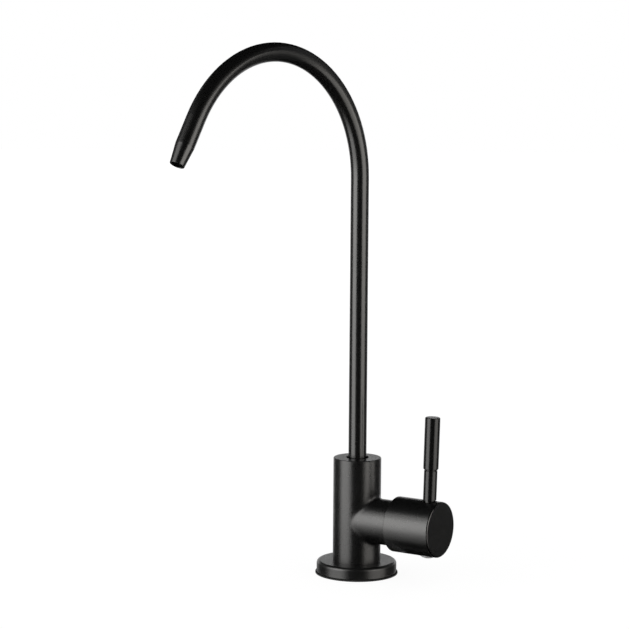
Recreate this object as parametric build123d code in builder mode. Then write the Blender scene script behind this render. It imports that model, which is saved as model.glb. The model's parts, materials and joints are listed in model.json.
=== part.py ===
from build123d import *
from math import cos, radians, sin
import os

os.makedirs("parts", exist_ok=True)

# Drinking water filter tap, sizes in millimetres.
# The spout swivels about Z and the deck is the plane z = 0.
# The handle turns about an axis along +X, and the user stands on the -Y side.

# Cartridge and valve chamber, stations measured along the handle axis from the swivel axis
barrel_d = 18.4
barrel_wall = 1.0
barrel_end_gap = 1.0
chamber_gap = 0.2
thread_step = 1.25
valve_thread_start = 16.5
valve_height = 30.6
seat_x = 3.0
seal_thickness = 2.0
seal_width = 1.8
disc_gap = 0.2
disc_thickness = 3.0
disc_step = 1.0
port_inner_d = 4.6
port_land = 0.2
port_angle = 80.0
key_width = 4.0
key_fit = 0.05
key_height = 1.0
window_length = 4.6
window_width = 10.0
housing_thread_edge = 0.6
housing_seal_section = 1.6
housing_seal_setback = 1.7
housing_flange_inset = 0.7
housing_flange_t = 2.0
housing_flats = 19.0
housing_hexagon_length = 5.0
stop_height = 2.0
stop_width = 1.9
stop_clearance = 0.3

# Spindle and what rides on it
foot_gap = 1.0
foot_thickness = 3.0
thrust_width = 2.25
thrust_thickness = 1.0
thrust_play = 0.05
tang_width = 3.0
tang_length = 9.0
tang_depth = 1.6
tang_fit = 0.05
spindle_seal_start = 6.0
spindle_seal_spacing = 5.0
spindle_seal_section = 1.3
flat_depth = 0.95
stop_ring_width = 1.35
stop_ring_t = 1.5
stop_ring_play = 0.1
ear_angle = 50.0
handle_travel = 90.0
stop_slack_angle = 1.0
clip_overhang = 1.25
clip_thickness = 0.9
clip_groove_depth = 1.05
clip_opening = 4.6
spline_step = 0.95
spline_depth = 0.45
spline_teeth = 20
spline_length = 8.4
spline_fit = 0.06

# Column and side boss
boss_wall = 2.05
boss_end = 31.0
boss_edge = 0.5
column_margin = 0.75
body_top = 65.0
body_edge = 0.5
saddle_fillet = 1.6

# Base flange and gasket
flange_d = 44.4
flange_top = 7.2
flange_edge = 1.7
flange_foot_edge = 0.3
flange_wall = 2.4
flange_plate = 2.6
spigot_shoulder = 1.45
spigot_fit = 0.1
gasket_lip = 0.75
gasket_t = 0.8
gasket_edge = 0.25

# Threaded shank and the pieces under the deck
shank_d = 11.1
shank_engagement = 12.0
shank_bottom = -58.0
shank_flow_d = 5.0
shank_chamfer = 0.6
thread_fit = 0.05
shank_seal_section = 1.7
deck_gap = 25.0
washer_play = 0.4
clamp_gasket_d = 30.0
clamp_gasket_t = 2.0
clamp_washer_lip = 1.0
clamp_washer_t = 1.5
clamp_washer_edge = 0.3
lock_washer_d = 18.4
lock_washer_t = 2.6
lock_washer_split = 2.0
lock_washer_twist = 20.0
nut_flats = 19.0
nut_height = 7.0
hexagon_chamfer = 0.7

# Supply tube connection
supply_tube_d = 6.35
supply_fit = 0.075
supply_depth = 12.0
mouth_cone = 1.6
inlet_nut_flats = 15.9
inlet_nut_length = 15.0
inlet_nut_floor = 2.4
inlet_nut_cover = 8.0
inlet_sleeve_inset = 0.75

# Spout tube
tube_d = 10.0
tube_wall = 0.9
arch_start = 219.5
arch_radius = 67.4
arch_angle = 149.8
outlet_run = 15.8
outlet_taper = 10.6
outlet_d = 7.8
outlet_wall = 0.8
outlet_lip = 0.2
spout_azimuth = -99.2

# Spout end inside the column
bush_wall = 1.05
bush_length = 3.0
bush_recess = 1.4
bush_edge = 0.3
running_fit = 0.05
socket_depth = 21.0
socket_mouth_edge = 0.5
socket_floor_gap = 0.1
ferrule_length = 16.0
ferrule_wall = 2.4
tube_seat_depth = 5.4
braze_fit = 0.03
seal_section = 1.42
seal_clearance = 0.02
ring_groove_play = 0.15
first_seal_height = 2.2
second_seal_height = 5.3
snap_height = 8.6
snap_thickness = 1.1
snap_inset = 1.1
snap_overhang = 0.4
snap_play = 0.12
snap_split = 3.0

# Water passages in the body
passage_d = 6.4
inlet_passage_x = -2.0
outlet_slot_width = 3.0
outlet_slot_length = 5.0
outlet_slot_reach = 4.7

# Handle cap and lever
cap_gap = 0.9
cap_wall = 1.8
cap_cover = 5.3
cap_length = 27.6
cap_end_edge = 0.9
cap_rim_edge = 0.3
cap_floor_gap = 0.5
spindle_bore_end_gap = 0.5
lever_setback = 7.5
lever_lean = 1.56
lever_step = 32.75
lever_end = 61.3
stem_d = 7.3
stem_core_d = 5.4
grip_d = 8.3
grip_overlap = 20.0
grip_fit = 0.03
grip_low_edge = 0.45
grip_top_edge = 0.6
stud_d = 5.0
stud_clearance = 0.94
spot_face_play = 0.55
spot_face_depth = 1.4
grub_d = 4.0
grub_length = 6.0
grub_hexagon = 2.0
grub_hexagon_depth = 2.2
plug_d = 9.4
plug_dome = 1.3
plug_edge = 0.4
plug_fit = 0.05
plug_stub_d = 5.2
plug_grub_gap = 0.98

# Sides that stand for the round section of a sealing ring
seal_sides = 8

# Diameters that follow from the sizes above
cartridge_bore_d = barrel_d - 2 * barrel_wall
chamber_d = barrel_d + 2 * chamber_gap
valve_thread_d = barrel_d + 2 * thread_step
fixed_disc_d = cartridge_bore_d - 2 * disc_gap
moving_disc_d = fixed_disc_d - 2 * disc_step
seal_bore_d = fixed_disc_d - 2 * seal_width
port_outer_d = seal_bore_d - 2 * port_land
foot_d = cartridge_bore_d - 2 * foot_gap
spindle_d = foot_d - 2 * thrust_width
spline_tip_d = spindle_d - 2 * spline_step
broach_d = spline_tip_d + 2 * spline_fit
flat_width = spindle_d - 2 * flat_depth
stop_ring_d = spindle_d + 2 * stop_ring_width
stop_inner_d = stop_ring_d + 2 * stop_clearance
stop_outer_d = stop_inner_d + 2 * stop_width
clip_d = spindle_d + 2 * clip_overhang
clip_groove_d = spindle_d - 2 * clip_groove_depth
boss_d = valve_thread_d + 2 * boss_wall
body_d = boss_d + 2 * column_margin
spigot_d = body_d - 2 * spigot_shoulder
gasket_d = flange_d + 2 * gasket_lip
washer_hole_d = shank_d + 2 * washer_play
clamp_washer_d = clamp_gasket_d + 2 * clamp_washer_lip
supply_bore_d = supply_tube_d + 2 * supply_fit
inlet_sleeve_d = shank_d - 2 * inlet_sleeve_inset
socket_d = tube_d + 2 * running_fit + 2 * bush_wall
ferrule_d = socket_d - 2 * running_fit
cap_cavity_d = boss_d + 2 * cap_gap
cap_d = cap_cavity_d + 2 * cap_wall

# Heights that follow
socket_floor = body_top - socket_depth
ferrule_foot = socket_floor + socket_floor_gap
ferrule_top = ferrule_foot + ferrule_length
tube_foot = ferrule_top - tube_seat_depth
shank_top = gasket_t + shank_engagement
supply_stop = shank_bottom + mouth_cone + supply_depth

# Stations along the handle axis that follow
fixed_disc_x = seat_x + seal_thickness
moving_disc_x = fixed_disc_x + disc_thickness
foot_x = moving_disc_x + disc_thickness
thrust_x = foot_x + foot_thickness
shoulder_x = thrust_x + thrust_thickness + thrust_play
housing_seal_x = boss_end - housing_seal_setback
hexagon_x = boss_end + housing_flange_t
housing_top_x = hexagon_x + housing_hexagon_length
stop_ring_x = housing_top_x + stop_ring_play
clip_x = stop_ring_x + stop_ring_t + stop_ring_play
neck_end_x = clip_x + clip_thickness + stop_ring_play
spline_end_x = neck_end_x + spline_length
cap_rim_x = boss_end - cap_cover
cap_end_x = cap_rim_x + cap_length
cap_cavity_end_x = neck_end_x + cap_floor_gap
lever_x = cap_end_x - lever_setback
first_spindle_seal_x = shoulder_x + spindle_seal_start
spindle_seal_stations = [first_spindle_seal_x, first_spindle_seal_x + spindle_seal_spacing]
first_stop_angle = 90 - handle_travel / 2

# Distances from the valve axis to what the cap holds
stud_end = broach_d / 2 + stud_clearance
stem_foot = cap_d / 2 - spot_face_depth
grub_end = broach_d / 2 + grub_length
plug_seat = ((cap_d / 2) ** 2 - (plug_d / 2 + plug_fit) ** 2) ** 0.5
plug_stub_end = grub_end + plug_grub_gap

valve_axis = Axis((0, 0, valve_height), (1, 0, 0))
valve_side = Plane(origin=(0, 0, valve_height), x_dir=(1, 0, 0), z_dir=(0, -1, 0))
plug_side = Plane(origin=(lever_x, 0, valve_height), x_dir=(1, 0, 0), z_dir=(0, 1, 0))


def across(x):
    """The plane across the valve axis at a station, with Y and Z as its own axes."""
    return Plane(origin=(x, 0, valve_height), x_dir=(0, 1, 0), z_dir=(1, 0, 0))


def along_lever(distance):
    """The plane across the lever at a distance from the valve axis."""
    lean = radians(lever_lean)
    place = (lever_x + distance * sin(lean), 0, valve_height + distance * cos(lean))
    return Plane(origin=place, x_dir=(0, 1, 0), z_dir=(sin(lean), 0, cos(lean)))


def below_axis(distance):
    """The plane that faces down under the lever, at a distance below the valve axis."""
    return Plane(origin=(lever_x, 0, valve_height - distance), x_dir=(1, 0, 0), z_dir=(0, 0, -1))


def turned_upright(*outline, mode=Mode.ADD):
    """Turn a closed outline of (radius, height) points round the swivel axis."""
    with BuildSketch(Plane.XZ) as profile:
        with BuildLine():
            Polyline(*outline, close=True)
        make_face()
    revolve(profile.sketch, axis=Axis.Z, mode=mode)


def turned_across(*outline, mode=Mode.ADD):
    """Turn a closed outline of (station, radius) points round the valve axis."""
    with BuildSketch(valve_side) as profile:
        with BuildLine():
            Polyline(*outline, close=True)
        make_face()
    revolve(profile.sketch, axis=valve_axis, mode=mode)


def seal_rings(plane, axis, section, *centres):
    """Sealing rings turned round an axis, their round section drawn with flat sides."""
    with BuildSketch(plane) as outline:
        with Locations(*centres):
            RegularPolygon(section / 2, seal_sides, major_radius=False, rotation=180 / seal_sides)
    revolve(outline.sketch, axis=axis)


def rod(plane, radius, length, mode=Mode.ADD):
    """A round bar that starts on a plane and follows its normal."""
    with Locations(plane):
        Cylinder(radius, length, align=(Align.CENTER, Align.CENTER, Align.MIN), mode=mode)


def sector(inner_r, outer_r, middle, width):
    """A ring sector between two radii, placed by its middle angle."""
    with BuildSketch() as shape:
        with BuildLine():
            inner = CenterArc((0, 0), inner_r, middle - width / 2, width)
            outer = CenterArc((0, 0), outer_r, middle - width / 2, width)
            Line(inner @ 0, outer @ 0)
            Line(inner @ 1, outer @ 1)
        make_face()
    return shape.sketch


def serration(root_r, tip_r):
    """A toothed outline with straight flanks."""
    points = []
    for tooth in range(spline_teeth):
        for radius, share in ((root_r, 0), (tip_r, 0.5)):
            angle = radians((tooth + share) * 360 / spline_teeth)
            points.append((radius * cos(angle), radius * sin(angle)))
    with BuildSketch() as shape:
        with BuildLine():
            Polyline(*points, close=True)
        make_face()
    return shape.sketch


def hexagon_bar(plane, flats, length, bevel):
    """A hexagon bar with both its ends turned down to a bevel."""
    with BuildSketch(plane) as outline:
        RegularPolygon(flats / 2, 6, major_radius=False)
    extrude(outline.sketch, amount=length)
    corner_r = flats / 3**0.5
    with BuildPart(plane, mode=Mode.PRIVATE) as blank:
        Cylinder(corner_r, length, align=(Align.CENTER, Align.CENTER, Align.MIN))
        chamfer(blank.edges().filter_by(GeomType.CIRCLE), bevel)
    add(blank.part, mode=Mode.INTERSECT)


# Valve body: column, side boss, sockets and water passages
with BuildPart() as valve_body:
    turned_upright(
        (0, gasket_t),
        (spigot_d / 2, gasket_t),
        (spigot_d / 2, flange_top),
        (body_d / 2, flange_top),
        (body_d / 2, body_top),
        (0, body_top),
    )
    rod(across(0), boss_d / 2, boss_end)
    saddle = valve_body.edges(Select.LAST).filter_by(lambda edge: edge.center().X < body_d / 2)
    fillet(saddle, saddle_fillet)
    top_rim = valve_body.edges().filter_by(GeomType.CIRCLE).group_by(Axis.Z)[-1]
    fillet(top_rim, body_edge)
    boss_rim = valve_body.edges().filter_by(GeomType.CIRCLE).group_by(Axis.X)[-1]
    chamfer(boss_rim, boss_edge)
    with Locations((0, 0, body_top)):
        CounterSinkHole(socket_d / 2, socket_d / 2 + socket_mouth_edge, socket_depth, 90)
    rod(
        Plane.XY.offset(ferrule_foot + snap_height - snap_play),
        socket_d / 2 + snap_overhang + snap_play,
        snap_thickness + 2 * snap_play,
        mode=Mode.SUBTRACT,
    )
    with Locations(across(boss_end)):
        CounterBoreHole(
            valve_thread_d / 2,
            valve_thread_d / 2 + thread_fit,
            boss_end - housing_seal_x + housing_seal_section,
            boss_end - valve_thread_start,
        )
    rod(across(seat_x), chamber_d / 2, valve_thread_start - seat_x, mode=Mode.SUBTRACT)
    rod(Plane.XY.offset(gasket_t), shank_d / 2 + thread_fit, shank_engagement, mode=Mode.SUBTRACT)
    rod(
        Plane.XY.offset(gasket_t),
        shank_d / 2 + shank_seal_section + seal_clearance,
        shank_seal_section + seal_clearance,
        mode=Mode.SUBTRACT,
    )
    rod(
        Plane((inlet_passage_x, 0, gasket_t)),
        passage_d / 2,
        valve_height + passage_d / 2 - gasket_t,
        mode=Mode.SUBTRACT,
    )
    rod(across(inlet_passage_x), passage_d / 2, seat_x - inlet_passage_x, mode=Mode.SUBTRACT)
    with BuildSketch(Plane.XY.offset(socket_floor)):
        with Locations((seat_x + outlet_slot_width / 2, 0)):
            SlotOverall(outlet_slot_length, outlet_slot_width, rotation=90)
    slot_foot = valve_height + chamber_d / 2 - outlet_slot_reach
    extrude(amount=slot_foot - socket_floor, mode=Mode.SUBTRACT)

# Base flange: a turned cover, hollow underneath
with BuildPart() as base_flange:
    flange_bore_r = spigot_d / 2 + spigot_fit
    turned_upright(
        (flange_bore_r, gasket_t),
        (flange_bore_r + flange_wall, gasket_t),
        (flange_bore_r + flange_wall, flange_top - flange_plate),
        (flange_d / 2 - flange_wall, flange_top - flange_plate),
        (flange_d / 2 - flange_wall, gasket_t),
        (flange_d / 2, gasket_t),
        (flange_d / 2, flange_top),
        (flange_bore_r, flange_top),
    )
    rims = base_flange.edges().filter_by(GeomType.CIRCLE).sort_by(SortBy.RADIUS)[-2:]
    fillet(rims.sort_by(Axis.Z)[-1], flange_edge)
    foot_rim = base_flange.edges().filter_by(GeomType.CIRCLE).group_by(Axis.Z)[0]
    chamfer(foot_rim.sort_by(SortBy.RADIUS)[-1], flange_foot_edge)

# Base gasket: a thin rubber ring, a little wider than the flange
with BuildPart() as base_gasket:
    with BuildSketch():
        Circle(gasket_d / 2)
        Circle(washer_hole_d / 2, mode=Mode.SUBTRACT)
    extrude(amount=gasket_t)
    gasket_rim = base_gasket.edges().group_by(Axis.Z)[-1].sort_by(SortBy.RADIUS)[-1]
    chamfer(gasket_rim, gasket_edge)

# Threaded shank: flow bore above, supply tube socket with a cone mouth below
with BuildPart() as threaded_shank:
    turned_upright(
        (shank_flow_d / 2, shank_top),
        (shank_flow_d / 2, supply_stop),
        (supply_bore_d / 2, supply_stop),
        (supply_bore_d / 2, shank_bottom + mouth_cone),
        (supply_bore_d / 2 + mouth_cone / 2, shank_bottom),
        (shank_d / 2 - shank_chamfer, shank_bottom),
        (shank_d / 2, shank_bottom + shank_chamfer),
        (shank_d / 2, shank_top - shank_chamfer),
        (shank_d / 2 - shank_chamfer, shank_top),
    )

with BuildPart() as shank_o_ring:
    shank_seal_r = shank_d / 2 + shank_seal_section / 2 + seal_clearance / 2
    shank_seal_height = gasket_t + shank_seal_section / 2 + seal_clearance / 2
    seal_rings(Plane.XZ, Axis.Z, shank_seal_section, (shank_seal_r, shank_seal_height))

# Clamp pieces, stacked down from the underside of the deck
clamp_washer_top = -deck_gap - clamp_gasket_t
lock_washer_top = clamp_washer_top - clamp_washer_t
nut_top = lock_washer_top - lock_washer_t

with BuildPart() as clamp_gasket:
    with BuildSketch(Plane.XY.offset(clamp_washer_top)):
        Circle(clamp_gasket_d / 2)
        Circle(washer_hole_d / 2, mode=Mode.SUBTRACT)
    extrude(amount=clamp_gasket_t)

with BuildPart() as clamp_washer:
    with BuildSketch(Plane.XY.offset(lock_washer_top)):
        Circle(clamp_washer_d / 2)
        Circle(washer_hole_d / 2, mode=Mode.SUBTRACT)
    extrude(amount=clamp_washer_t)
    washer_rims = clamp_washer.edges().filter_by(GeomType.CIRCLE).sort_by(SortBy.RADIUS)[-2:]
    chamfer(washer_rims, clamp_washer_edge)

with BuildPart() as lock_washer:
    with BuildSketch(Plane.XY.offset(nut_top)):
        Circle(lock_washer_d / 2)
        Circle(washer_hole_d / 2, mode=Mode.SUBTRACT)
        with Locations((-lock_washer_d / 2, 0)):
            Rectangle(
                lock_washer_d / 2, lock_washer_split, rotation=lock_washer_twist, mode=Mode.SUBTRACT
            )
    extrude(amount=lock_washer_t)

with BuildPart() as mounting_nut:
    nut_foot = Plane.XY.offset(nut_top - nut_height)
    hexagon_bar(nut_foot, nut_flats, nut_height, hexagon_chamfer)
    rod(nut_foot, shank_d / 2 + thread_fit, nut_height, mode=Mode.SUBTRACT)

# Inlet nut and sleeve at the lower end of the shank
inlet_nut_bottom = shank_bottom + inlet_nut_cover - inlet_nut_length
sleeve_foot = inlet_nut_bottom + inlet_nut_floor

with BuildPart() as inlet_nut:
    hexagon_bar(
        Plane.XY.offset(inlet_nut_bottom), inlet_nut_flats, inlet_nut_length, hexagon_chamfer
    )
    rod(
        Plane.XY.offset(sleeve_foot),
        shank_d / 2 + thread_fit,
        inlet_nut_length,
        mode=Mode.SUBTRACT,
    )
    rod(
        Plane.XY.offset(inlet_nut_bottom),
        supply_bore_d / 2 + supply_fit,
        inlet_nut_length,
        mode=Mode.SUBTRACT,
    )

with BuildPart() as inlet_sleeve:
    sleeve_bore_r = supply_bore_d / 2 + supply_fit / 2
    turned_upright(
        (sleeve_bore_r, sleeve_foot),
        (inlet_sleeve_d / 2, sleeve_foot),
        (inlet_sleeve_d / 2, shank_bottom - thread_fit),
        (supply_bore_d / 2 + mouth_cone / 2 - thread_fit, shank_bottom - thread_fit),
        (supply_bore_d / 2 + mouth_cone / 4 - thread_fit, shank_bottom + mouth_cone / 2),
        (sleeve_bore_r, shank_bottom + mouth_cone / 2),
    )

# Bearing bush in the mouth of the column
with BuildPart() as spout_bush:
    with BuildSketch(Plane.XY.offset(body_top - bush_recess - bush_length)):
        Circle(socket_d / 2)
        Circle(tube_d / 2 + running_fit, mode=Mode.SUBTRACT)
    extrude(amount=bush_length)
    bush_rim = spout_bush.edges().group_by(Axis.Z)[-1].sort_by(SortBy.RADIUS)[0]
    chamfer(bush_rim, bush_edge)

# Spout tube: riser, arch and run swept in one plane, with a drawn-down outlet
azimuth = radians(spout_azimuth)
spout_plane = Plane(
    origin=(0, 0, 0), x_dir=(cos(azimuth), sin(azimuth), 0), z_dir=(sin(azimuth), -cos(azimuth), 0)
)
with BuildPart() as spout_tube:
    with BuildLine(spout_plane) as centre_line:
        riser = Line((0, tube_foot), (0, arch_start))
        arch = JernArc(riser @ 1, riser % 1, arch_radius, -arch_angle)
        run = PolarLine(arch @ 1, outlet_run, direction=arch % 1)
    with BuildSketch(Plane.XY.offset(tube_foot)):
        Circle(tube_d / 2)
        Circle(tube_d / 2 - tube_wall, mode=Mode.SUBTRACT)
    sweep(path=centre_line.wires()[0])
    outlet_start = centre_line.wires()[0] @ 1
    outlet_way = centre_line.wires()[0] % 1
    outlet_side = Plane(
        origin=outlet_start,
        x_dir=spout_plane.z_dir,
        z_dir=spout_plane.z_dir.cross(outlet_way),
    )
    with BuildSketch(outlet_side):
        with BuildLine():
            Polyline(
                (tube_d / 2 - tube_wall, 0),
                (tube_d / 2, 0),
                (outlet_d / 2, outlet_taper),
                (outlet_d / 2 - outlet_wall, outlet_taper),
                close=True,
            )
        make_face()
    revolve(axis=Axis(outlet_start, outlet_way))
    lip = spout_tube.edges().filter_by(GeomType.CIRCLE).sort_by_distance(
        outlet_start + outlet_way * outlet_taper
    )[:2]
    fillet(lip, outlet_lip)

# Ferrule on the foot of the tube, with grooves for two seals and the snap ring
with BuildPart() as spout_ferrule:
    rod(Plane.XY.offset(ferrule_foot), ferrule_d / 2, ferrule_length)
    flow_r = ferrule_d / 2 - ferrule_wall
    rod(Plane.XY.offset(ferrule_foot), flow_r, ferrule_length, mode=Mode.SUBTRACT)
    rod(Plane.XY.offset(tube_foot), tube_d / 2 + braze_fit, tube_seat_depth, mode=Mode.SUBTRACT)
    seal_groove_r = socket_d / 2 - seal_clearance - seal_section
    for seal_height in (first_seal_height, second_seal_height):
        groove_low = ferrule_foot + seal_height - seal_section / 2 - ring_groove_play
        groove_high = ferrule_foot + seal_height + seal_section / 2 + ring_groove_play
        turned_upright(
            (seal_groove_r, groove_low),
            (socket_d, groove_low),
            (socket_d, groove_high),
            (seal_groove_r, groove_high),
            mode=Mode.SUBTRACT,
        )
    snap_low = ferrule_foot + snap_height
    turned_upright(
        (socket_d / 2 - snap_inset - snap_play, snap_low - snap_play),
        (socket_d, snap_low - snap_play),
        (socket_d, snap_low + snap_thickness + snap_play),
        (socket_d / 2 - snap_inset - snap_play, snap_low + snap_thickness + snap_play),
        mode=Mode.SUBTRACT,
    )

with BuildPart() as spout_o_rings:
    seal_rings(
        Plane.XZ,
        Axis.Z,
        seal_section,
        (seal_groove_r + seal_section / 2, ferrule_foot + first_seal_height),
        (seal_groove_r + seal_section / 2, ferrule_foot + second_seal_height),
    )

with BuildPart() as spout_snap_ring:
    with BuildSketch(Plane.XY.offset(snap_low)):
        Circle(socket_d / 2 + snap_overhang)
        Circle(socket_d / 2 - snap_inset, mode=Mode.SUBTRACT)
        with Locations((0, socket_d / 2)):
            Rectangle(snap_split, socket_d, mode=Mode.SUBTRACT)
    extrude(amount=snap_thickness)

# Cartridge housing: barrel with side windows, thread, flange, hexagon and stops
with BuildPart() as cartridge_housing:
    spindle_bore_r = spindle_d / 2 + running_fit
    seal_seat_r = valve_thread_d / 2 - housing_seal_section - seal_clearance
    turned_across(
        (seat_x + barrel_end_gap, cartridge_bore_d / 2),
        (seat_x + barrel_end_gap, barrel_d / 2),
        (valve_thread_start, barrel_d / 2),
        (valve_thread_start + housing_thread_edge, valve_thread_d / 2 - thread_fit),
        (housing_seal_x - housing_seal_section, valve_thread_d / 2 - thread_fit),
        (housing_seal_x - housing_seal_section, seal_seat_r),
        (boss_end, seal_seat_r),
        (boss_end, boss_d / 2 - housing_flange_inset),
        (hexagon_x, boss_d / 2 - housing_flange_inset),
        (hexagon_x, spindle_bore_r),
        (shoulder_x, spindle_bore_r),
        (shoulder_x, cartridge_bore_d / 2),
    )
    with BuildSketch(across(hexagon_x)):
        RegularPolygon(housing_flats / 2, 6, major_radius=False)
        Circle(spindle_bore_r, mode=Mode.SUBTRACT)
    extrude(amount=housing_hexagon_length)
    stop_gap = handle_travel + ear_angle + 2 * stop_slack_angle
    with BuildSketch(across(housing_top_x)):
        add(sector(stop_inner_d / 2, stop_outer_d / 2, -90, 360 - stop_gap))
    extrude(amount=stop_height)
    window_x = foot_x - disc_thickness / 2
    with Locations((window_x, 0, valve_height)):
        Box(window_length, 2 * barrel_d, window_width, mode=Mode.SUBTRACT)
    with Locations((seat_x + barrel_end_gap, 0, valve_height)):
        Box(
            moving_disc_x - seat_x - barrel_end_gap,
            key_width + 2 * key_fit,
            2 * barrel_d,
            align=(Align.MIN, Align.CENTER, Align.CENTER),
            mode=Mode.SUBTRACT,
        )

with BuildPart() as cartridge_o_ring:
    seal_rings(
        valve_side,
        valve_axis,
        housing_seal_section,
        (housing_seal_x, seal_seat_r + housing_seal_section / 2),
    )

with BuildPart() as seat_seal:
    with BuildSketch(across(seat_x)):
        Circle(fixed_disc_d / 2)
        Circle(seal_bore_d / 2, mode=Mode.SUBTRACT)
    extrude(amount=seal_thickness)

# Ceramic discs: two ports each, crossed while the lever stands up
with BuildPart() as fixed_ceramic_disc:
    with BuildSketch(across(fixed_disc_x)):
        Circle(fixed_disc_d / 2)
        Rectangle(key_width, fixed_disc_d + 2 * key_height)
        for middle in (0, 180):
            add(sector(port_inner_d / 2, port_outer_d / 2, middle, port_angle), mode=Mode.SUBTRACT)
    extrude(amount=disc_thickness)

with BuildPart() as moving_ceramic_disc:
    with BuildSketch(across(moving_disc_x)):
        Circle(moving_disc_d / 2)
        for middle in (90, 270):
            add(sector(port_inner_d / 2, moving_disc_d, middle, port_angle), mode=Mode.SUBTRACT)
    extrude(amount=disc_thickness)
    with BuildSketch(across(foot_x)):
        Rectangle(tang_length + 2 * tang_fit, tang_width + 2 * tang_fit)
    extrude(amount=-tang_depth - tang_fit, mode=Mode.SUBTRACT)

# Spindle: drive tang and foot, sealed neck, flats, clip groove and serrated end
with BuildPart() as spindle:
    turned_across(
        (foot_x, 0),
        (foot_x, foot_d / 2),
        (thrust_x, foot_d / 2),
        (thrust_x, spindle_d / 2),
        (neck_end_x, spindle_d / 2),
        (neck_end_x, 0),
    )
    with BuildSketch(across(foot_x)):
        Rectangle(tang_length, tang_width)
    extrude(amount=-tang_depth)
    neck_groove_r = spindle_d / 2 + running_fit - seal_clearance - spindle_seal_section
    for seal_x in spindle_seal_stations:
        groove_half = spindle_seal_section / 2 + ring_groove_play
        turned_across(
            (seal_x - groove_half, neck_groove_r),
            (seal_x - groove_half, spindle_d),
            (seal_x + groove_half, spindle_d),
            (seal_x + groove_half, neck_groove_r),
            mode=Mode.SUBTRACT,
        )
    with BuildSketch(across(stop_ring_x - stop_ring_play)):
        Circle(spindle_d)
        Rectangle(flat_width, 2 * spindle_d, mode=Mode.SUBTRACT)
    extrude(amount=neck_end_x - stop_ring_x + stop_ring_play, mode=Mode.SUBTRACT)
    turned_across(
        (clip_x - stop_ring_play / 2, clip_groove_d / 2 - thread_fit),
        (clip_x - stop_ring_play / 2, spindle_d),
        (clip_x + clip_thickness + stop_ring_play / 2, spindle_d),
        (clip_x + clip_thickness + stop_ring_play / 2, clip_groove_d / 2 - thread_fit),
        mode=Mode.SUBTRACT,
    )
    with BuildSketch(across(neck_end_x)):
        add(serration(spline_tip_d / 2 - spline_depth, spline_tip_d / 2))
    extrude(amount=spline_length)

with BuildPart() as spindle_o_rings:
    seal_centre_r = neck_groove_r + spindle_seal_section / 2
    seal_rings(
        valve_side,
        valve_axis,
        spindle_seal_section,
        *[(seal_x, seal_centre_r) for seal_x in spindle_seal_stations],
    )

with BuildPart() as thrust_washer:
    with BuildSketch(across(thrust_x)):
        Circle(foot_d / 2)
        Circle(spindle_d / 2 + thread_fit, mode=Mode.SUBTRACT)
    extrude(amount=thrust_thickness)

# Stop ring: keyed on the flats, its ear travels between the stops of the housing
with BuildPart() as stop_ring:
    with BuildSketch(across(stop_ring_x)):
        Circle(stop_ring_d / 2)
        add(sector(flat_width / 2, stop_outer_d / 2, first_stop_angle, ear_angle))
        with BuildSketch(mode=Mode.SUBTRACT):
            Circle(spindle_d / 2 + thread_fit)
            Rectangle(flat_width + 2 * thread_fit, 2 * spindle_d, mode=Mode.INTERSECT)
    extrude(amount=stop_ring_t)

with BuildPart() as spindle_clip:
    with BuildSketch(across(clip_x)):
        Circle(clip_d / 2)
        Circle(clip_groove_d / 2, mode=Mode.SUBTRACT)
        with Locations((0, -clip_d / 2)):
            Rectangle(clip_opening, clip_d, mode=Mode.SUBTRACT)
    extrude(amount=clip_thickness)

# Handle cap: a turned cup over the boss, broached for the spindle
with BuildPart() as handle_cap:
    turned_across(
        (cap_rim_x, cap_cavity_d / 2),
        (cap_rim_x, cap_d / 2),
        (cap_end_x, cap_d / 2),
        (cap_end_x, 0),
        (cap_cavity_end_x, 0),
        (cap_cavity_end_x, cap_cavity_d / 2),
    )
    cap_rims = handle_cap.edges().filter_by(GeomType.CIRCLE).group_by(Axis.X)
    fillet(cap_rims[-1], cap_end_edge)
    chamfer(cap_rims[0], cap_rim_edge)
    with BuildSketch(across(cap_cavity_end_x)):
        add(serration(broach_d / 2 - spline_depth, broach_d / 2))
    extrude(amount=spline_end_x + spindle_bore_end_gap - cap_cavity_end_x, mode=Mode.SUBTRACT)
    rod(along_lever(0), stud_d / 2 + thread_fit, cap_d, mode=Mode.SUBTRACT)
    spot_face_r = stem_d / 2 + spot_face_play
    rod(along_lever(stem_foot), spot_face_r, cap_d, mode=Mode.SUBTRACT)
    rod(below_axis(0), grub_d / 2 + thread_fit, cap_d, mode=Mode.SUBTRACT)
    rod(below_axis(plug_stub_end - plug_fit), plug_stub_d / 2, cap_d, mode=Mode.SUBTRACT)
    rod(below_axis(plug_seat), plug_d / 2 + plug_fit, cap_d, mode=Mode.SUBTRACT)

# Lever: a stem with a stud at its foot and a sleeve as its grip
with BuildPart() as lever_stem:
    rod(along_lever(stud_end), stud_d / 2, stem_foot - stud_end)
    rod(along_lever(stem_foot), stem_d / 2, lever_step - stem_foot)
    rod(along_lever(lever_step), stem_core_d / 2, grip_overlap)

with BuildPart() as lever_grip:
    rod(along_lever(lever_step), grip_d / 2, lever_end - lever_step)
    grip_rims = lever_grip.edges().filter_by(GeomType.CIRCLE).sort_by(Axis.Z)
    chamfer(grip_rims[0], grip_low_edge)
    fillet(grip_rims[-1], grip_top_edge)
    rod(
        along_lever(lever_step),
        stem_core_d / 2 + grip_fit,
        grip_overlap + grip_fit,
        mode=Mode.SUBTRACT,
    )

with BuildPart() as handle_grub_screw:
    rod(below_axis(broach_d / 2), grub_d / 2, grub_length)
    with BuildSketch(below_axis(grub_end)):
        RegularPolygon(grub_hexagon / 2, 6, major_radius=False)
    extrude(amount=-grub_hexagon_depth, mode=Mode.SUBTRACT)

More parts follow.
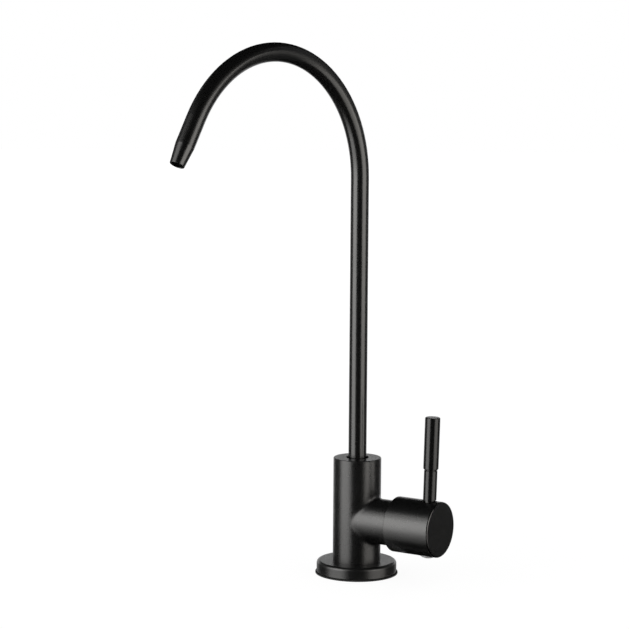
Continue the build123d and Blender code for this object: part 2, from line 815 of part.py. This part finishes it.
# Plug over the grub screw: a domed button with a stub, pushed in from underneath
with BuildPart() as screw_plug:
    dome_top = cap_d / 2 + plug_dome
    dome_rise = dome_top - plug_seat - plug_edge
    dome_r = ((plug_d / 2) ** 2 + dome_rise**2) / (2 * dome_rise)
    with BuildSketch(plug_side):
        with BuildLine():
            Line((0, plug_seat), (plug_d / 2, plug_seat))
            Line((plug_d / 2, plug_seat), (plug_d / 2, plug_seat + plug_edge))
            RadiusArc((plug_d / 2, plug_seat + plug_edge), (0, dome_top), -dome_r)
            Line((0, dome_top), (0, plug_seat))
        make_face()
    revolve(axis=Axis(plug_side.origin, (0, 0, -1)))
    rod(below_axis(plug_stub_end), plug_stub_d / 2, plug_seat - plug_stub_end)

pieces = {
    "valve_body": valve_body,
    "base_flange": base_flange,
    "base_gasket": base_gasket,
    "threaded_shank": threaded_shank,
    "shank_o_ring": shank_o_ring,
    "clamp_gasket": clamp_gasket,
    "clamp_washer": clamp_washer,
    "lock_washer": lock_washer,
    "mounting_nut": mounting_nut,
    "inlet_nut": inlet_nut,
    "inlet_sleeve": inlet_sleeve,
    "spout_bush": spout_bush,
    "cartridge_housing": cartridge_housing,
    "cartridge_o_ring": cartridge_o_ring,
    "seat_seal": seat_seal,
    "fixed_ceramic_disc": fixed_ceramic_disc,
    "spout_tube": spout_tube,
    "spout_ferrule": spout_ferrule,
    "spout_o_rings": spout_o_rings,
    "spout_snap_ring": spout_snap_ring,
    "handle_cap": handle_cap,
    "lever_stem": lever_stem,
    "lever_grip": lever_grip,
    "handle_grub_screw": handle_grub_screw,
    "screw_plug": screw_plug,
    "spindle": spindle,
    "spindle_o_rings": spindle_o_rings,
    "spindle_clip": spindle_clip,
    "stop_ring": stop_ring,
    "thrust_washer": thrust_washer,
    "moving_ceramic_disc": moving_ceramic_disc,
}
for name, piece in pieces.items():
    piece.part.label = name
    export_step(piece.part, f"parts/{name}.step")
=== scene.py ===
"""Looks of a deck-mounted drinking water tap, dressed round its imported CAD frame."""

import json
from math import cos, pi, radians, sin

import bmesh
import bpy
from mathutils import Matrix, Vector


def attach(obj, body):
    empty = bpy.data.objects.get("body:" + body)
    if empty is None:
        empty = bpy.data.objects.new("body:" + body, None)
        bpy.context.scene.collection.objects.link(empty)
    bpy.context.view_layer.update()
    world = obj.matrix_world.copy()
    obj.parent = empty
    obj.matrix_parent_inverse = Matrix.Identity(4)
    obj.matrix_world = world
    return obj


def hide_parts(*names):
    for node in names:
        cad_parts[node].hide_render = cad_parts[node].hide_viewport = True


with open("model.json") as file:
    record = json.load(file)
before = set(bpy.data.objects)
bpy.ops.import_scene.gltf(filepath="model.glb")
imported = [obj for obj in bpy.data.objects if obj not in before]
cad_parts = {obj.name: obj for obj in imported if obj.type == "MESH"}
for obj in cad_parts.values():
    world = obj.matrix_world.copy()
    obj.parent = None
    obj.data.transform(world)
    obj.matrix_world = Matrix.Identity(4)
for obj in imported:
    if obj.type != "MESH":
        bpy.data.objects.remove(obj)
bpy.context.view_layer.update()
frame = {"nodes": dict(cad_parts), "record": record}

MM = 0.001

# Camera, as fitted to the photograph: angles, the point it looks at and its distance
IMAGE_SIDE = 629
FOCAL_PIXELS = 2072.816
SENSOR = 36.0
VIEW_AZIMUTH = 32.722
VIEW_ELEVATION = 6.748
VIEW_ROLL = 0.369
TARGET_HEIGHT = 144.368 * MM
TARGET_SHIFT = -24.284 * MM
CAMERA_DISTANCE = 1138.613 * MM

# Deck and background: the floor glows a little more with distance, up to plain white
FLOOR_RADIUS = 6.0
FLOOR_SIDES = 96
FLOOR_ALBEDO = 0.8
FLOOR_VEIL = 0.12
FLOOR_GLOW = 0.915
GLOW_NEAR = 0.2
GLOW_FAR = 1.5
WORLD_LIGHT = 0.65

# Dark boards in a ring round the tap: their angles are counted from the camera
BOARD_DISTANCE = 1.2
BOARD_TOP = 1.3
BOARD_STEPS = 48
FRONT_ANGLE = 95
SIDE_ANGLE = 142
BACK_OPENING_TOP = 0.36
BLACK = 0.01
DARK_GREY = 0.1

# Dark polished sheets on the deck, round the base gasket
SHEET_HEIGHT = 0.4 * MM
SHEET_HOLE = 23.5 * MM
SHEET_BREAK = 110.0 * MM
SHEET_ROUGHNESS = 0.15
NEAR_SHEET_GREY = 0.3
FAR_SHEET_GREY = 0.55

# Soft boxes
LAMP_AIM = 0.12
LAMP_DISTANCE = 0.9
LEFT_AZIMUTH = -61
RIGHT_AZIMUTH = 60
LEFT_COLOUR = (1, 0.99, 0.97)
RIGHT_COLOUR = (1, 0.97, 0.92)

# Satin coat: high refractive index of a hard metallic black finish, and its two blacks
COAT_IOR = 2.33
LEVER_IOR = 2.0
COAT_COLOUR = (0.0022, 0.0022, 0.0022)
COAT_COLOUR_HIGH = (0.0033, 0.0033, 0.0033)
COAT_DRIFT = 0.015

# Nodes with their own form of the coat: smoother when drawn or turned, softened when cast
COAT_BY_NODE = {
    "spout_tube": "satin_tube",
    "valve_body": "satin_body",
    "lever_stem": "satin_lever",
    "lever_grip": "satin_lever",
    "handle_cap": "satin_cap",
}

# Noises: where most of their values lie, and their scales in waves per metre
NOISE_LOW = 0.3
NOISE_HIGH = 0.7
GRAIN_SCALE = 1500
COAT_CLOUD_SCALE = 70
STUFF_CLOUD_SCALE = 120
TURNING_SCALE = 6000
TARNISH_SCALE = 160

# Uncoated stuffs: how much their colour and roughness vary, and their relief
STUFF_SHADE = 0.85
TARNISH_SHADE = 0.8
STUFF_DRIFT = 0.06
STUFF_GRAIN = 0.01 * MM
TURNING_DEPTH = 0.004 * MM

# Rim of the cap's end face, where the coat is thin and smooth over the rounded edge
RIM_START = 52.3 * MM
RIM_FULL = 52.5 * MM
RIM_LAST = 53.27 * MM
RIM_END = 53.29 * MM
RIM_SMOOTHING = 0.15

# Saddle between column and boss: where the coat softens it, and how far
VALVE_HEIGHT = 30.6 * MM
SADDLE_REACH = 16.0 * MM
SADDLE_SOFTENING = 3.2 * MM
SADDLE_SAMPLES = 8

# Meshes made here: points closer than this merge, and sharper edges aren't smoothed
MERGE_DISTANCE = 0.002 * MM
SHARP_ANGLE = 25

# Shank: sizes of the CAD solid, with the thread that the solid leaves out
SHANK_RADIUS = 5.55 * MM
SHANK_BOTTOM = -58.0 * MM
SHANK_TOP = 12.8 * MM
FLOW_RADIUS = 2.5 * MM
SUPPLY_RADIUS = 3.25 * MM
MOUTH_CONE = 1.6 * MM
SUPPLY_DEPTH = 12.0 * MM
SUPPLY_STOP = SHANK_BOTTOM + MOUTH_CONE + SUPPLY_DEPTH
THREAD_PITCH = 1.27 * MM
THREAD_DEPTH = 0.7 * MM
THREAD_ROOT = SHANK_RADIUS - THREAD_DEPTH
THREAD_SEGMENTS = 48

# Shares of a pitch at which the crest ends and the root starts and ends
CREST_END = 0.125
ROOT_START = 0.45
ROOT_END = 0.675

# Lever stem: sizes of the CAD solid along its leaning axis, and its two necks
LEVER_X = 45.8 * MM
LEVER_LEAN = 1.56
STUD_RADIUS = 2.5 * MM
STUD_FOOT = 5.0 * MM
STUD_EDGE = 0.3 * MM
STEM_RADIUS = 3.65 * MM
STEM_FOOT = 13.8 * MM
STEM_EDGE = 0.15 * MM
CAP_RADIUS = 15.2 * MM
FOOT_NECK_RADIUS = 3.2 * MM
FOOT_NECK_RISE = 0.6 * MM
FOOT_NECK_TOP = CAP_RADIUS + FOOT_NECK_RISE
GRIP_FOOT = 32.75 * MM
GRIP_NECK_RADIUS = 3.1 * MM
GRIP_NECK_LENGTH = 0.55 * MM
GRIP_NECK_FOOT = GRIP_FOOT - GRIP_NECK_LENGTH
CORE_RADIUS = 2.7 * MM
CORE_LENGTH = 20.0 * MM
CORE_TOP = GRIP_FOOT + CORE_LENGTH
STEM_SEGMENTS = 64


def camera_axes():
    """Forward, right and up of the camera, with its roll."""
    a, e, roll = radians(VIEW_AZIMUTH), radians(VIEW_ELEVATION), radians(VIEW_ROLL)
    forward = Vector((-sin(a) * cos(e), cos(a) * cos(e), -sin(e)))
    right = Vector((cos(a), sin(a), 0))
    up = right.cross(forward)
    rolled_right = right * cos(roll) + up * sin(roll)
    rolled_up = up * cos(roll) - right * sin(roll)
    return forward, right, rolled_right, rolled_up


def make_camera():
    """The camera at the photograph's angle, distance and field of view."""
    forward, right, rolled_right, rolled_up = camera_axes()
    data = bpy.data.cameras.new("camera")
    data.sensor_width = SENSOR
    data.lens = SENSOR * FOCAL_PIXELS / IMAGE_SIDE
    camera = bpy.data.objects.new("camera", data)
    target = Vector((0, 0, TARGET_HEIGHT)) + right * TARGET_SHIFT
    place = target - forward * CAMERA_DISTANCE
    turn = Matrix((rolled_right, rolled_up, -forward)).transposed()
    camera.matrix_world = Matrix.Translation(place) @ turn.to_4x4()
    bpy.context.scene.collection.objects.link(camera)
    bpy.context.scene.camera = camera


def new_material(name):
    """An empty node material with its principled shader."""
    material = bpy.data.materials.new(name)
    material.use_nodes = True
    shader = material.node_tree.nodes["Principled BSDF"]
    return material, material.node_tree, shader


def object_place(tree):
    """Coordinates on the object, in metres."""
    return tree.nodes.new("ShaderNodeTexCoord").outputs["Object"]


def split_axes(tree, place):
    """X, Y and Z of a place or a direction."""
    node = tree.nodes.new("ShaderNodeSeparateXYZ")
    tree.links.new(place, node.inputs[0])
    return node.outputs


def length_of(tree, vector):
    """The length of a vector."""
    node = tree.nodes.new("ShaderNodeVectorMath")
    node.operation = "LENGTH"
    tree.links.new(vector, node.inputs[0])
    return node.outputs["Value"]


def calculate(tree, operation, first, second=None):
    """A Math node on one or two values."""
    node = tree.nodes.new("ShaderNodeMath")
    node.operation = operation
    tree.links.new(first, node.inputs[0])
    if second is not None:
        tree.links.new(second, node.inputs[1])
    return node.outputs[0]


def noise(tree, coordinates, scale, detail, roughness=0.5):
    """A noise texture, with its scale in waves per metre."""
    node = tree.nodes.new("ShaderNodeTexNoise")
    node.inputs["Scale"].default_value = scale
    node.inputs["Detail"].default_value = detail
    node.inputs["Roughness"].default_value = roughness
    tree.links.new(coordinates, node.inputs["Vector"])
    return node.outputs["Fac"]


def remap(tree, value, start, end, low, high):
    """A value that runs from low to high while another runs from start to end."""
    node = tree.nodes.new("ShaderNodeMapRange")
    node.inputs["From Min"].default_value = start
    node.inputs["From Max"].default_value = end
    node.inputs["To Min"].default_value = low
    node.inputs["To Max"].default_value = high
    tree.links.new(value, node.inputs["Value"])
    return node.outputs["Result"]


def spread(tree, value, middle, half):
    """A noise value, spread as far as a half range on both sides of a middle."""
    return remap(tree, value, NOISE_LOW, NOISE_HIGH, middle - half, middle + half)


def blend_colours(tree, shader, factor, first, second):
    """The shader's colour as a mix of two, by a factor."""
    node = tree.nodes.new("ShaderNodeMix")
    node.data_type = "RGBA"
    node.inputs["A"].default_value = (*first, 1)
    node.inputs["B"].default_value = (*second, 1)
    tree.links.new(factor, node.inputs["Factor"])
    tree.links.new(node.outputs["Result"], shader.inputs["Base Color"])


def bump(tree, shader, height, depth, base=None):
    """Bump of a depth in metres on a shader, over a base normal if there is one."""
    node = tree.nodes.new("ShaderNodeBump")
    node.inputs["Distance"].default_value = depth
    tree.links.new(height, node.inputs["Height"])
    if base is not None:
        tree.links.new(base, node.inputs["Normal"])
    tree.links.new(node.outputs["Normal"], shader.inputs["Normal"])


def softened_saddle(tree, place):
    """A normal that flows from the column into the boss, as the thick coat does there."""
    offset = tree.nodes.new("ShaderNodeMath")
    offset.operation = "SUBTRACT"
    offset.inputs[1].default_value = VALVE_HEIGHT
    tree.links.new(split_axes(tree, place)["Z"], offset.inputs[0])
    away = calculate(tree, "ABSOLUTE", offset.outputs[0])
    far = SADDLE_REACH + SADDLE_SOFTENING
    reach = remap(tree, away, SADDLE_REACH, far, SADDLE_SOFTENING, 0.0)
    node = tree.nodes.new("ShaderNodeBevel")
    node.samples = SADDLE_SAMPLES
    tree.links.new(reach, node.inputs["Radius"])
    return node.outputs["Normal"]


def smooth_rim(tree, place, roughness):
    """The roughness, brought down to a share of itself over the cap's rounded rim."""
    along = split_axes(tree, place)["X"]
    down = remap(tree, along, RIM_START, RIM_FULL, 1.0, RIM_SMOOTHING)
    back = remap(tree, along, RIM_LAST, RIM_END, 1.0, 1.0 / RIM_SMOOTHING)
    return calculate(tree, "MULTIPLY", calculate(tree, "MULTIPLY", roughness, down), back)


def satin_coat(name, roughness, grain, uneven, index=COAT_IOR, soft=False, rim=False):
    """Satin black coat: fine blasted grain under a thin film, with a few soft clouds."""
    material, tree, shader = new_material(name)
    place = object_place(tree)
    fine = noise(tree, place, GRAIN_SCALE, detail=3, roughness=0.6)
    cloud = noise(tree, place, COAT_CLOUD_SCALE, detail=3)
    blend_colours(tree, shader, fine, COAT_COLOUR, COAT_COLOUR_HIGH)
    broad = spread(tree, cloud, roughness, COAT_DRIFT)
    gloss = calculate(tree, "ADD", broad, spread(tree, fine, 0, uneven))
    if rim:
        gloss = smooth_rim(tree, place, gloss)
    tree.links.new(gloss, shader.inputs["Roughness"])
    shader.inputs["IOR"].default_value = index
    bump(tree, shader, fine, grain, softened_saddle(tree, place) if soft else None)
    return material


def plain_stuff(name, colour, roughness, metallic):
    """A plain solid stuff with a little colour, gloss and height variation."""
    material, tree, shader = new_material(name)
    place = object_place(tree)
    fine = noise(tree, place, GRAIN_SCALE, detail=3)
    cloud = noise(tree, place, STUFF_CLOUD_SCALE, detail=3)
    blend_colours(tree, shader, cloud, [c * STUFF_SHADE for c in colour], colour)
    tree.links.new(spread(tree, fine, roughness, STUFF_DRIFT), shader.inputs["Roughness"])
    shader.inputs["Metallic"].default_value = metallic
    bump(tree, shader, fine, STUFF_GRAIN)
    return material


def turning_place(tree, place):
    """Radius and height of a place, along which a lathe's fine rings run."""
    axes = split_axes(tree, place)
    flat = tree.nodes.new("ShaderNodeCombineXYZ")
    tree.links.new(axes["X"], flat.inputs["X"])
    tree.links.new(axes["Y"], flat.inputs["Y"])
    ring = tree.nodes.new("ShaderNodeCombineXYZ")
    tree.links.new(length_of(tree, flat.outputs[0]), ring.inputs["X"])
    tree.links.new(axes["Z"], ring.inputs["Z"])
    return ring.outputs[0]


def turned_metal(name, colour, roughness):
    """Turned metal: fine rings round the upright axis and a slight tarnish."""
    material, tree, shader = new_material(name)
    place = object_place(tree)
    marks = noise(tree, turning_place(tree, place), TURNING_SCALE, detail=2, roughness=0.7)
    tarnish = noise(tree, place, TARNISH_SCALE, detail=4, roughness=0.6)
    blend_colours(tree, shader, tarnish, [c * TARNISH_SHADE for c in colour], colour)
    tree.links.new(spread(tree, marks, roughness, STUFF_DRIFT), shader.inputs["Roughness"])
    shader.inputs["Metallic"].default_value = 1.0
    bump(tree, shader, marks, TURNING_DEPTH)
    return material


def satin_coats():
    """The satin coat on each kind of ground, by the name of its material."""
    grounds = {
        "satin_black": dict(roughness=0.32, grain=0.06 * MM, uneven=0.05),
        "satin_body": dict(roughness=0.31, grain=0.06 * MM, uneven=0.05, soft=True),
        "satin_tube": dict(roughness=0.26, grain=0.01 * MM, uneven=0.015),
        "satin_lever": dict(roughness=0.26, grain=0.005 * MM, uneven=0.01, index=LEVER_IOR),
        "satin_cap": dict(roughness=0.3, grain=0.03 * MM, uneven=0.03, rim=True),
    }
    return {name: satin_coat(name, **ground) for name, ground in grounds.items()}


def uncoated_stuffs():
    """The record's other finishes by name, from their colour, roughness and metal share."""
    stuffs = {
        "black_rubber": ((0.018, 0.018, 0.018), 0.7, 0.0),
        "black_plastic": ((0.014, 0.014, 0.015), 0.5, 0.0),
        "white_plastic": ((0.8, 0.79, 0.76), 0.4, 0.0),
        "steel": ((0.6, 0.6, 0.61), 0.35, 1.0),
        "ceramic": ((0.86, 0.85, 0.81), 0.2, 0.0),
        "bright_trim": ((0.8, 0.8, 0.82), 0.4, 0.4),
    }
    made = {name: plain_stuff(name, *stuff) for name, stuff in stuffs.items()}
    made["brass"] = turned_metal("brass", (0.72, 0.5, 0.22), 0.3)
    return made


def dress_nodes(materials):
    """Each CAD node takes the material of its slot in the record, or its own coat."""
    for part in frame["record"]["subparts"]:
        mesh = frame["nodes"][part["node"]].data
        name = COAT_BY_NODE.get(part["node"], part["material_slot"])
        mesh.materials.clear()
        mesh.materials.append(materials[name])


def join_lines(bm, lines):
    """Quads between each line of points and the next."""
    for lower, upper in zip(lines, lines[1:]):
        for step in range(len(lower) - 1):
            bm.faces.new((lower[step], lower[step + 1], upper[step + 1], upper[step]))


def lathe(bm, outline, segments):
    """A surface turned round the upright axis through an outline of radii and heights."""
    turn = [2 * pi * step / segments for step in range(segments)]
    rings = []
    for radius, height in outline:
        ring = [bm.verts.new((radius * cos(t), radius * sin(t), height)) for t in turn]
        rings.append(ring + ring[:1])
    join_lines(bm, rings)


def add_piece(name, bm, material, body, node):
    """A closed piece from what was built, which rides on a body in place of a CAD node."""
    bmesh.ops.remove_doubles(bm, verts=bm.verts, dist=MERGE_DISTANCE)
    bmesh.ops.dissolve_degenerate(bm, edges=bm.edges, dist=MERGE_DISTANCE)
    bmesh.ops.recalc_face_normals(bm, faces=bm.faces)
    mesh = bpy.data.meshes.new(name)
    bm.to_mesh(mesh)
    bm.free()
    mesh.polygons.foreach_set("use_smooth", [True] * len(mesh.polygons))
    mesh.set_sharp_from_angle(angle=radians(SHARP_ANGLE))
    mesh.materials.append(material)
    piece = bpy.data.objects.new(name, mesh)
    bpy.context.scene.collection.objects.link(piece)
    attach(piece, body)
    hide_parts(node)


def helix_turn(bm, height, radius):
    """One turn of a helix, held within the shank's ends and their chamfers."""
    line = []
    for step in range(THREAD_SEGMENTS + 1):
        angle = 2 * pi * step / THREAD_SEGMENTS
        z = min(max(height + THREAD_PITCH * step / THREAD_SEGMENTS, SHANK_BOTTOM), SHANK_TOP)
        r = min(radius, THREAD_ROOT + z - SHANK_BOTTOM, THREAD_ROOT + SHANK_TOP - z)
        line.append(bm.verts.new((r * cos(angle), r * sin(angle), z)))
    return line


def threaded_shank(material):
    """The shank with its real helical thread, in place of the plain CAD solid."""
    bore = [
        (THREAD_ROOT, SHANK_TOP),
        (FLOW_RADIUS, SHANK_TOP),
        (FLOW_RADIUS, SUPPLY_STOP),
        (SUPPLY_RADIUS, SUPPLY_STOP),
        (SUPPLY_RADIUS, SHANK_BOTTOM + MOUTH_CONE),
        (SUPPLY_RADIUS + MOUTH_CONE / 2, SHANK_BOTTOM),
        (THREAD_ROOT, SHANK_BOTTOM),
    ]
    bm = bmesh.new()
    lathe(bm, bore, THREAD_SEGMENTS)
    profile = [
        (0.0, SHANK_RADIUS),
        (CREST_END, SHANK_RADIUS),
        (ROOT_START, THREAD_ROOT),
        (ROOT_END, THREAD_ROOT),
    ]
    # A turn more at each end, so that the thread runs out through both end faces
    turns = int((SHANK_TOP - SHANK_BOTTOM) / THREAD_PITCH) + 3
    lines = []
    for turn in range(-1, turns):
        for share, radius in profile:
            lines.append(helix_turn(bm, SHANK_BOTTOM + (turn + share) * THREAD_PITCH, radius))
    join_lines(bm, lines)
    add_piece("shank_thread", bm, material, "tap", "threaded_shank")


def lever_stem(material):
    """The turned stem with its dark necks at the cap and under the grip."""
    outline = [
        (0, STUD_FOOT),
        (STUD_RADIUS - STUD_EDGE, STUD_FOOT),
        (STUD_RADIUS, STUD_FOOT + STUD_EDGE),
        (STUD_RADIUS, STEM_FOOT),
        (FOOT_NECK_RADIUS, STEM_FOOT),
        (FOOT_NECK_RADIUS, FOOT_NECK_TOP),
        (STEM_RADIUS - STEM_EDGE, FOOT_NECK_TOP),
        (STEM_RADIUS, FOOT_NECK_TOP + STEM_EDGE),
        (STEM_RADIUS, GRIP_NECK_FOOT - STEM_EDGE),
        (STEM_RADIUS - STEM_EDGE, GRIP_NECK_FOOT),
        (GRIP_NECK_RADIUS, GRIP_NECK_FOOT),
        (GRIP_NECK_RADIUS, GRIP_FOOT),
        (CORE_RADIUS, GRIP_FOOT),
        (CORE_RADIUS, CORE_TOP),
        (0, CORE_TOP),
    ]
    bm = bmesh.new()
    lathe(bm, outline, STEM_SEGMENTS)
    lean = Matrix.Rotation(radians(LEVER_LEAN), 4, "Y")
    place = Matrix.Translation((LEVER_X, 0, VALVE_HEIGHT))
    bmesh.ops.transform(bm, matrix=place @ lean, verts=bm.verts)
    add_piece("lever_stem_turned", bm, material, "handle", "lever_stem")


def seen_or_reflected(tree):
    """One for camera, glossy and transmission rays, nought for the others."""
    path = tree.nodes.new("ShaderNodeLightPath")
    either = calculate(
        tree, "MAXIMUM", path.outputs["Is Camera Ray"], path.outputs["Is Glossy Ray"]
    )
    return calculate(tree, "MAXIMUM", either, path.outputs["Is Transmission Ray"])


def mix_shaders(tree, factor, first, second):
    """The first shader where the factor is nought, the second where it is one."""
    node = tree.nodes.new("ShaderNodeMixShader")
    tree.links.new(factor, node.inputs[0])
    tree.links.new(first, node.inputs[1])
    tree.links.new(second, node.inputs[2])
    return node.outputs[0]


def white_deck(tree):
    """White that still takes some shadow: a dim diffuse veil under a steady glow."""
    veil = tree.nodes.new("ShaderNodeBsdfDiffuse")
    veil.inputs["Color"].default_value = (FLOOR_VEIL, FLOOR_VEIL, FLOOR_VEIL, 1)
    distance = length_of(tree, object_place(tree))
    white = tree.nodes.new("ShaderNodeEmission")
    tree.links.new(
        remap(tree, distance, GLOW_NEAR, GLOW_FAR, FLOOR_GLOW, 1.0), white.inputs["Strength"]
    )
    both = tree.nodes.new("ShaderNodeAddShader")
    tree.links.new(veil.outputs[0], both.inputs[0])
    tree.links.new(white.outputs[0], both.inputs[1])
    return both.outputs[0]


def floor_material():
    """Pale for the light, white where it is seen or reflected, and clear from below."""
    material, tree, shader = new_material("floor")
    shader.inputs["Base Color"].default_value = (FLOOR_ALBEDO, FLOOR_ALBEDO, FLOOR_ALBEDO, 1)
    shader.inputs["Roughness"].default_value = 1.0
    shader.inputs["Specular IOR Level"].default_value = 0.0
    choice = mix_shaders(tree, seen_or_reflected(tree), shader.outputs[0], white_deck(tree))
    side = tree.nodes.new("ShaderNodeNewGeometry")
    clear = tree.nodes.new("ShaderNodeBsdfTransparent")
    from_above = mix_shaders(tree, side.outputs["Backfacing"], choice, clear.outputs[0])
    tree.links.new(from_above, tree.nodes["Material Output"].inputs["Surface"])
    return material


def make_floor():
    """The pale deck round the tap, with a soft shadow on it."""
    turn = [2 * pi * side / FLOOR_SIDES for side in range(FLOOR_SIDES)]
    outline = [(FLOOR_RADIUS * cos(t), FLOOR_RADIUS * sin(t), 0) for t in turn]
    mesh = bpy.data.meshes.new("floor")
    mesh.from_pydata(outline, [], [tuple(range(FLOOR_SIDES))])
    mesh.materials.append(floor_material())
    floor = bpy.data.objects.new("floor", mesh)
    bpy.context.scene.collection.objects.link(floor)


def make_world():
    """Even soft light, and a white background for what is seen directly or in a gloss."""
    world = bpy.data.worlds.new("studio")
    world.use_nodes = True
    world.cycles.sampling_method = "NONE"
    bpy.context.scene.world = world
    tree = world.node_tree
    soft = tree.nodes["Background"]
    soft.inputs["Color"].default_value = (1, 1, 1, 1)
    soft.inputs["Strength"].default_value = WORLD_LIGHT
    white = tree.nodes.new("ShaderNodeBackground")
    white.inputs["Color"].default_value = (1, 1, 1, 1)
    choice = mix_shaders(tree, seen_or_reflected(tree), soft.outputs[0], white.outputs[0])
    tree.links.new(choice, tree.nodes["World Output"].inputs["Surface"])


def studio_point(azimuth, distance, height):
    """A point of the studio, its azimuth counted from the camera to the right."""
    a = radians(VIEW_AZIMUTH + azimuth)
    return Vector((sin(a) * distance, -cos(a) * distance, height))


def ring_sector(start, end, inner, outer, low, high):
    """Points and faces of a band round the tap between two azimuths from the camera."""
    points = []
    for step in range(BOARD_STEPS + 1):
        azimuth = start + (end - start) * step / BOARD_STEPS
        points.append(studio_point(azimuth, inner, low))
        points.append(studio_point(azimuth, outer, high))
    faces = [(2 * i, 2 * i + 2, 2 * i + 3, 2 * i + 1) for i in range(BOARD_STEPS)]
    return points, faces


def dark_card(name, grey, points, faces, roughness=1.0, metallic=0.0):
    """Dark board that only reflections see, as a studio sets round black metal."""
    mesh = bpy.data.meshes.new(name)
    mesh.from_pydata(points, [], faces)
    material, _, shader = new_material(name)
    shader.inputs["Base Color"].default_value = (grey, grey, grey, 1)
    shader.inputs["Roughness"].default_value = roughness
    shader.inputs["Metallic"].default_value = metallic
    shader.inputs["Specular IOR Level"].default_value = 0.0
    mesh.materials.append(material)
    card = bpy.data.objects.new(name, mesh)
    bpy.context.scene.collection.objects.link(card)
    card.visible_camera = False
    card.visible_diffuse = False
    card.visible_transmission = False
    card.visible_shadow = False


def upright_card(name, grey, start, end, low=0.0):
    """Dark upright board in the ring round the tap, between two azimuths."""
    band = ring_sector(start, end, BOARD_DISTANCE, BOARD_DISTANCE, low, BOARD_TOP)
    dark_card(name, grey, *band)


def deck_sheet(name, grey, inner, outer):
    """Dark polished ring on the deck."""
    ring = ring_sector(0, 360, inner, outer, SHEET_HEIGHT, SHEET_HEIGHT)
    dark_card(name, grey, *ring, roughness=SHEET_ROUGHNESS, metallic=1.0)


def make_cards():
    """Dark boards round and over the tap, open low at the back, and sheets on the deck."""
    upright_card("front_card", BLACK, -FRONT_ANGLE, FRONT_ANGLE)
    upright_card("left_card", DARK_GREY, -SIDE_ANGLE, -FRONT_ANGLE)
    upright_card("right_card", DARK_GREY, FRONT_ANGLE, SIDE_ANGLE)
    upright_card("header_card", BLACK, SIDE_ANGLE, 360 - SIDE_ANGLE, BACK_OPENING_TOP)
    dark_card("roof_card", BLACK, *ring_sector(0, 360, 0.0, BOARD_TOP, BOARD_TOP, BOARD_TOP))
    deck_sheet("near_deck_card", NEAR_SHEET_GREY, SHEET_HOLE, SHEET_BREAK)
    deck_sheet("deck_card", FAR_SHEET_GREY, SHEET_BREAK, BOARD_DISTANCE)


def soft_box(name, azimuth, colour, height, width, tall, radiance):
    """A soft box aimed at the tap. Seen in a mirror, a radiance of 1 is white."""
    place = studio_point(azimuth, LAMP_DISTANCE, height)
    data = bpy.data.lights.new(name, "AREA")
    data.shape = "RECTANGLE"
    data.size = width
    data.size_y = tall
    data.energy = radiance * pi * width * tall
    data.color = colour
    lamp = bpy.data.objects.new(name, data)
    lamp.location = place
    aim = Vector((0, 0, LAMP_AIM))
    lamp.rotation_euler = (aim - place).to_track_quat("-Z", "Y").to_euler()
    lamp.visible_camera = False
    bpy.context.scene.collection.objects.link(lamp)


def make_lamps():
    """Two soft boxes, one over the other, on the left and one on the right."""
    left, right = (LEFT_AZIMUTH, LEFT_COLOUR), (RIGHT_AZIMUTH, RIGHT_COLOUR)
    soft_box("left_box", *left, height=0.25, width=0.88, tall=0.5, radiance=1.6)
    soft_box("left_top_box", *left, height=0.7, width=0.88, tall=0.4, radiance=0.8)
    soft_box("right_box", *right, height=0.25, width=0.85, tall=0.55, radiance=1.15)


make_camera()
materials = satin_coats() | uncoated_stuffs()
dress_nodes(materials)
make_floor()
make_world()
make_cards()
threaded_shank(materials["brass"])
lever_stem(materials["satin_lever"])
make_lamps()

bpy.context.scene.view_settings.view_transform = "Standard"
